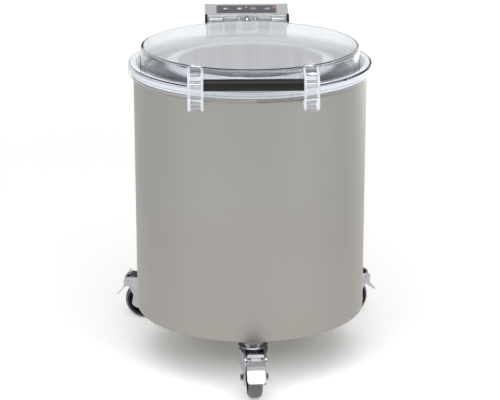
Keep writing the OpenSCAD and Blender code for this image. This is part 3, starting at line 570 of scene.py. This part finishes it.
# %% [markdown]
# Now the solids get their finishes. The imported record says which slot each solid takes, so one
# loop dresses them all, and a slot without a finish would show up as a missing key. A few solids
# share a slot but not a finish, such as the arms and the lid, so those few are dressed again by
# name.

# %% Dress the solids
OWN_FINISH = {
    "control_head": "dull_and_lit_steel",
    "basket_wall": "rolled_steel",
    "basket_collar": "collar_steel",
    "lid_hinge_block": "milky_plastic",
    "left_arm": "arm_plastic",
    "right_arm": "arm_plastic",
    "front_pedal": "pedal_steel",
    "left_pedal": "pedal_steel",
    "right_pedal": "pedal_steel",
}

for subpart in frame["record"]["subparts"]:
    solid = frame["nodes"][subpart["node"]]
    solid.data.materials.clear()
    solid.data.materials.append(finishes[subpart["material_slot"]])
for node, finish_name in OWN_FINISH.items():
    frame["nodes"][node].data.materials[0] = finishes[finish_name]

# %% [markdown]
# The printed marks and the lamps lie on the sloping keypad, so they are placed in its own
# directions: across it, uphill along it and straight out of it. The slope is the panel's rise over
# its depth. The middle comes from the frame: it lies under the middle of the keypad's plate, by
# half the plate's thickness.

# %% Places on the keypad
PANEL_RISE, PANEL_DEPTH = 0.0125, 0.0700
FILM_TOP = 0.0015
KEY_TOP = 0.0025

SLOPE = math.atan2(PANEL_RISE, PANEL_DEPTH)
UPHILL = Vector((0.0, math.cos(SLOPE), math.sin(SLOPE)))
OUTWARD = Vector((0.0, -math.sin(SLOPE), math.cos(SLOPE)))
PANEL = middle_of("keypad_frame") - OUTWARD * (FILM_TOP / 2)


def on_panel(across, uphill, height):
    return PANEL + Vector((across, 0.0, 0.0)) + UPHILL * uphill + OUTWARD * height


print("keypad slope in degrees:", round(math.degrees(SLOPE), 2), "middle:", rounded([PANEL])[0])

# %% [markdown]
# Marks and lamps are too thin to mill, so they are closed meshes made here. An outline is a list
# of points, and a band of faces joins two outlines that have as many points. The last helper turns
# the faces outward, makes an object of them and lets it ride on one of the machine's bodies.

# %% Helpers for thin pieces
def ring(radius, count=32):
    turns = [2 * math.pi * i / count for i in range(count)]
    return [(radius * math.cos(turn), radius * math.sin(turn)) for turn in turns]


def bar(x, low, high, width):
    left, right = x - width / 2, x + width / 2
    return [(left, low), (right, low), (right, high), (left, high)]


def band(sheet, first, second):
    for i in range(len(first)):
        j = (i + 1) % len(first)
        sheet.faces.new((first[i], first[j], second[j], second[i]))


def to_object(name, sheet, finish):
    mesh = bpy.data.meshes.new(name)
    sheet.to_mesh(mesh)
    sheet.free()
    mesh.materials.append(finish)
    return add_object(name, mesh)


def add_piece(name, sheet, finish, body):
    bmesh.ops.recalc_face_normals(sheet, faces=sheet.faces)
    piece = to_object(name, sheet, finish)
    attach(piece, body)
    return piece


print("a ring has", len(ring(1.0)), "points and a bar has", len(bar(0, 0, 1, 1)))

# %% [markdown]
# The marks on the keys are pale ink: flat outlines with a hair of thickness, which lie on the keys
# and ride down with them. The signs are the common ones: a triangle for start, a square for stop,
# a clock for time and rising bars for speed. They are drawn in millimetres from the middle of the
# key. Each part of a sign is an outline and, where it has one, the outline of its hole.

# %% Printed marks
MM = 0.001
INK = 0.00012
CLOCK_HANDS = [(-0.6, -0.6), (2.8, -0.6), (2.8, 0.6), (0.6, 0.6), (0.6, 3.6), (-0.6, 3.6)]
SIGNS = {
    "start": [([(-5, -5), (6, 0), (-5, 5)], None)],
    "stop": [(bar(0, -4.5, 4.5, width=9), None)],
    "time": [(ring(5.6), ring(4.2)), (CLOCK_HANDS, None)],
    "speed": [(bar(x, -5, top, width=2.6), None) for x, top in ((-4, -2), (0, 1.4), (4, 4.8))],
}


def ink_finish(name):
    bench, where = open_finish(name)
    speckle = noise(bench, where, scale=1800.0)
    close_finish(
        bench, base_color=blend(bench, speckle, tint(206, 207, 211), tint(226, 227, 230)),
        roughness=0.5 + speckle * 0.1,
        normal=relief(bench, speckle, strength=0.1, depth=0.00005),
    )


def ink_mark(key, parts):
    sheet = bmesh.new()
    middle = middle_of(f"{key}_key").x

    def loop(outline, height):
        return [sheet.verts.new(on_panel(middle + x * MM, v * MM, KEY_TOP + height))
                for x, v in outline]

    for outer, hole in parts:
        lower, upper = loop(outer, 0.0), loop(outer, INK)
        band(sheet, lower, upper)
        if hole:
            lower_hole, upper_hole = loop(hole, 0.0), loop(hole, INK)
            band(sheet, upper, upper_hole)
            band(sheet, upper_hole, lower_hole)
            band(sheet, lower_hole, lower)
        else:
            sheet.faces.new(upper)
            sheet.faces.new(lower)
    return add_piece(f"{key}_mark", sheet, finishes["pale_ink"], f"{key}_button")


ink_finish("pale_ink")
marks = [ink_mark(key, parts) for key, parts in SIGNS.items()]
print("printed marks:", [mark.name for mark in marks])

# %% [markdown]
# Two small red lamps shine through the film beside the second and the fourth key. A lamp is a low
# dome, brighter in the middle where the light sits. A spun half-section makes the dome, and a mask
# by the distance from its own middle makes the glow.

# %% Signal lamps
KEY_PITCH = middle_of("stop_key").x - middle_of("start_key").x
LAMP_UPHILL = 0.0095
LAMP_R = 0.0032
LAMP_CORE = 0.0012
LAMP_RISE = 0.0006
LAMP_TIP = 0.00002
LAMP_SIDES, LAMP_STEPS = 24, 5


def lamp_finish(name, middle):
    bench, where = open_finish(name)
    away = bench.node("ShaderNodeVectorMath", {"operation": "DISTANCE"},
                      {0: where, 1: middle}, out="Value")
    glow = 1 - step(bench, away, LAMP_CORE, LAMP_R)
    close_finish(
        bench, base_color=blend(bench, glow, tint(120, 14, 16), tint(226, 40, 36)),
        roughness=0.2 + glow * 0.1,
        emission_color=blend(bench, glow, tint(150, 10, 12), tint(255, 216, 210)),
        emission_strength=1.0,
    )


def lamp_dome(name, across):
    sheet = bmesh.new()
    rings = []
    for k in range(LAMP_STEPS + 1):
        angle = math.pi / 2 * k / LAMP_STEPS
        radius = max(LAMP_R * math.cos(angle), LAMP_TIP)
        height = FILM_TOP + LAMP_RISE * math.sin(angle)
        rings.append([sheet.verts.new(on_panel(across + x, LAMP_UPHILL + v, height))
                      for x, v in ring(radius, LAMP_SIDES)])
    for lower, upper in zip(rings, rings[1:]):
        band(sheet, lower, upper)
    for face in sheet.faces:
        face.smooth = True
    sheet.faces.new(rings[0])
    sheet.faces.new(rings[-1])
    lamp_finish(name, on_panel(across, LAMP_UPHILL, FILM_TOP))
    return add_piece(name, sheet, finishes[name], "base")


lamps = [lamp_dome("run_lamp", across=0.0), lamp_dome("speed_lamp", across=2 * KEY_PITCH)]
print("lamps:", [lamp.name for lamp in lamps])

# %% [markdown]
# The studio is a white floor without an end. A floor that is only lit would come out grey, so a
# little light of its own lifts it to white, while the lamps still draw the shadow. That glow fades
# in a warm oval patch under the machine, shaped like the drum's shadow: a painted shadow on top of
# the lamps' own, so the shadow stays deep there. The floor is far larger than the picture,
# because the camera looks down and never sees past it.

# %% Floor
FLOOR_HALF = 14.0
PAINTED_SHADOW_GLOW = (0.11, 0.101, 0.078, 1.0)
GLOW_NEAR = (0.4, 0.4, 0.4, 1.0)
GLOW_FAR = (0.68, 0.68, 0.68, 1.0)
PAINTED_SHADOW_FADE, FAR_FADE = (0.06, 0.26), (1.0, 4.0)
PAINTED_SHADOW_SHIFT = (0.0, -0.05, 0.0)
PAINTED_SHADOW_NARROWING = 0.72


def floor_finish(name):
    bench, where = open_finish(name)
    mottle = noise(bench, where, scale=2.0, detail=3.0)
    away, _ = from_axis(bench, where)
    moved = bench.node("ShaderNodeVectorMath", {"operation": "ADD"}, {0: where, 1: PAINTED_SHADOW_SHIFT})
    under, _ = from_axis(bench, stretched(bench, moved, PAINTED_SHADOW_NARROWING, 1.0, 1.0))
    # The low, warm glow in the oval under the machine is a painted shadow.
    close_by = blend(bench, step(bench, under, *PAINTED_SHADOW_FADE), PAINTED_SHADOW_GLOW, GLOW_NEAR)
    close_finish(
        bench, base_color=blend(bench, mottle, tint(226, 226, 225), tint(230, 230, 229)),
        roughness=0.75 + mottle * 0.05,
        emission_color=blend(bench, step(bench, away, *FAR_FADE), close_by, GLOW_FAR),
        emission_strength=1.0,
    )


floor_finish("studio_floor")
floor_sheet = bmesh.new()
bmesh.ops.create_grid(floor_sheet, x_segments=4, y_segments=4, size=FLOOR_HALF)
floor = to_object("studio_floor", floor_sheet, finishes["studio_floor"])
print("floor:", floor.dimensions[:])

# %% [markdown]
# Bright metal is only as good as the room it mirrors. Around the horizon the room is a white
# backdrop, above that it goes dark, because the walls there are not lit, and straight overhead
# hangs a wide soft box. Behind the machine a dark panel stands on each side, which the spun collar
# mirrors as its dark flanks. Camera, mirror and glass rays see this room. Other rays get a soft
# even fill instead, so the room's look doesn't change the light. A direction is an arrow of length
# one, so its height goes from 0 when level to 1 when straight up, and its side in the same way.

# %% Room
WHITE = (1.0, 1.0, 1.0, 1.0)
UNLIT = (0.045, 0.045, 0.049, 1.0)
FILL = 0.42
PANEL_INNER, PANEL_OUTER = (0.08, 0.12), (0.26, 0.32)
PANEL_FOOT, PANEL_BEHIND = (0.06, 0.1), (0.0, 0.1)
BACKDROP_TOP = (0.27, 0.42)
SOFT_BOX = (0.84, 0.95)

world = bpy.data.worlds.new("studio_room")
bpy.context.scene.world = world
world.use_nodes = True
world.node_tree.nodes.clear()
room = Wire(world.node_tree)
across, along, height = axis_parts(room, room.node("ShaderNodeTexCoord", out="Generated"))
side = without_sign(room, across)
panels = (step(room, side, *PANEL_INNER) * (1 - step(room, side, *PANEL_OUTER))
          * step(room, height, *PANEL_FOOT) * step(room, along, *PANEL_BEHIND))
backdrop = (1 - step(room, height, *BACKDROP_TOP)) * (1 - panels)
walls = blend(room, backdrop, UNLIT, WHITE)
sweep = blend(room, step(room, height, *SOFT_BOX), walls, WHITE)
seen = (room.node("ShaderNodeLightPath", out="Is Camera Ray")
        + room.node("ShaderNodeLightPath", out="Is Glossy Ray")
        + room.node("ShaderNodeLightPath", out="Is Transmission Ray"))
fill = room.node("ShaderNodeBackground", None, {"Color": WHITE, "Strength": FILL})
sight = room.node("ShaderNodeBackground", None, {"Color": sweep, "Strength": 1.0})
room.node("ShaderNodeOutputWorld", None, {"Surface": either(room, seen, fill, sight)})
print("room:", len(world.node_tree.nodes), "nodes")

# %% [markdown]
# Four soft lamps light the machine: a wide one above it, which puts the shadow under the drum, one
# on each side in front, for the long pale edges of the drum, and a low one behind it that draws a
# line of light down the right edge. The low one stays below the lid, so the clear roof never
# mirrors it. Large lamps near the machine are what makes the shadow melt away.

# %% Lamps of the studio
def soft_lamp(name, spot, aim, width, depth, watts):
    lamp = add_object(name, bpy.data.lights.new(name, "AREA"))
    lamp.data.shape = "RECTANGLE"
    lamp.data.size = width
    lamp.data.size_y = depth
    lamp.data.energy = watts
    lamp.location = spot
    lamp.rotation_euler = facing(Vector(aim) - Vector(spot))
    return lamp


studio = [
    soft_lamp("top_lamp", spot=(0.0, -1.3, 3.0), aim=(0.0, -0.2, 0.2),
              width=3.4, depth=2.4, watts=74.0),
    soft_lamp("left_lamp", spot=(-2.6, -2.0, 1.7), aim=(0.0, 0.0, 0.4),
              width=1.6, depth=1.8, watts=12.0),
    soft_lamp("right_lamp", spot=(2.6, -2.0, 1.7), aim=(0.0, 0.0, 0.4),
              width=1.6, depth=1.8, watts=13.0),
    soft_lamp("edge_lamp", spot=(2.1, 2.6, 0.4), aim=(0.2, 0.0, 0.4),
              width=1.4, depth=0.6, watts=14.0),
]
print("lamps:", [(lamp.name, lamp.data.energy) for lamp in studio])
